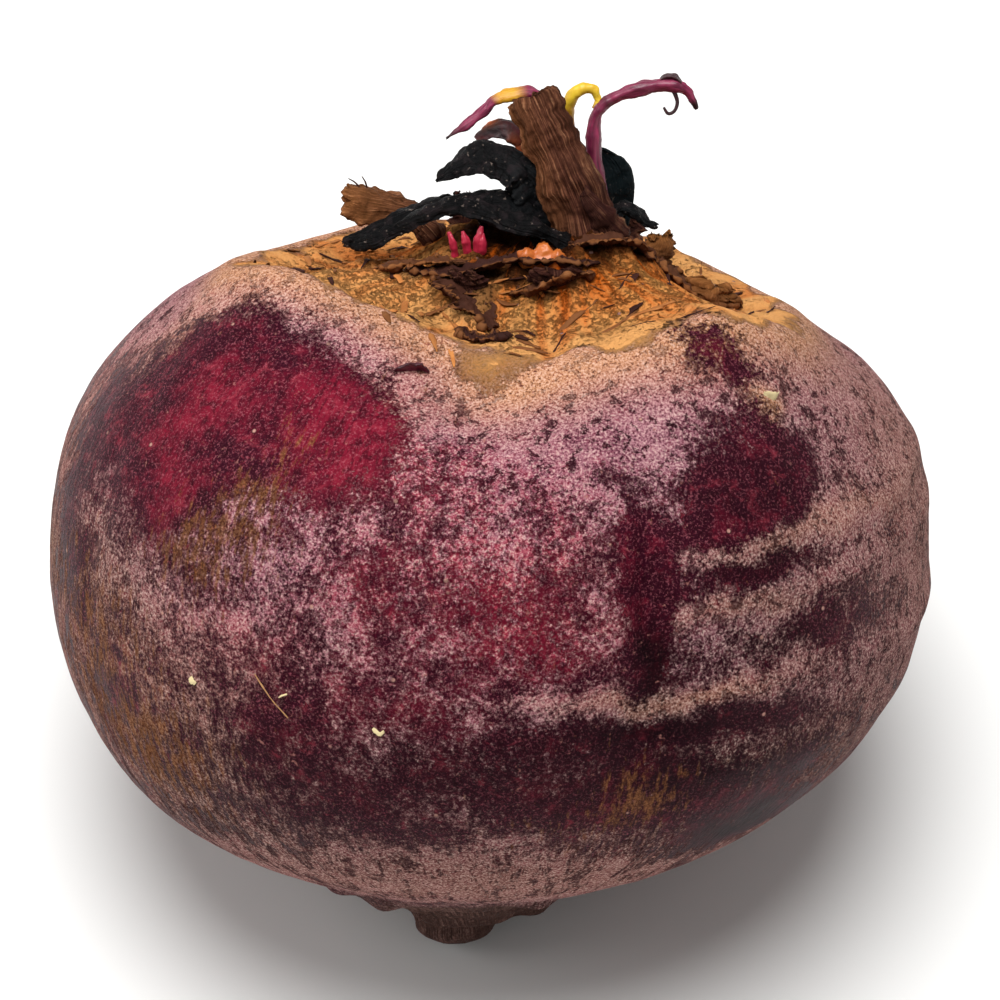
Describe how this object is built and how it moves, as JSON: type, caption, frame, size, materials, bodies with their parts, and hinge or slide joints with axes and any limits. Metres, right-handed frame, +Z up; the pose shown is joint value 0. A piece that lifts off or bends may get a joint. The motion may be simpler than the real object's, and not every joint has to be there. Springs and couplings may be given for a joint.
{
  "type": "beetroot",
  "caption": "Harvested beetroot: a broad round root with a corky lobed crown, a trimmed tap root and the withered stumps and shoots of its leaves.",
  "frame": {"origin": "centre of the bounding box, on the ground that the root rests on", "axes": "+X along the root's widest dimension, -Y to the front, where the tap root touches the ground, +Z up; the crown leans back towards +Y"},
  "size_m": [0.1, 0.0908, 0.0876],
  "materials": {
    "root_skin": "matte to satin, corky scurf over smooth dark red skin",
    "dry_stalk": "matte, dry and fibrous",
    "fresh_red": "satin, fresh plant tissue",
    "fresh_yellow": "satin, fresh plant tissue",
    "withered_red": "satin, shrivelled leaf",
    "withered_black": "satin, shrivelled leaf",
    "bud_orange": "satin, fresh plant tissue"
  },
  "bodies": {
    "root": {"root": "root_skin", "brown_stalk": "dry_stalk", "brown_stub_left": "dry_stalk", "red_stalk_left": "fresh_red", "red_stalk_right": "fresh_red", "yellow_shoot": "fresh_yellow", "small_dark_leaf": "withered_red", "black_leaf_left": "withered_black", "black_leaf_right": "withered_black", "black_strap_low": "withered_black", "black_strap_high": "withered_black", "dark_stub_right": "withered_black", "leaf_base_right": "dry_stalk", "leaf_base_far_right": "dry_stalk", "leaf_base_front": "dry_stalk", "leaf_base_front_right": "dry_stalk", "leaf_base_back": "dry_stalk", "leaf_base_back_left": "dry_stalk", "leaf_base_back_right": "dry_stalk", "red_bud": "fresh_red", "orange_bud": "bud_orange"}
  },
  "joints": []
}
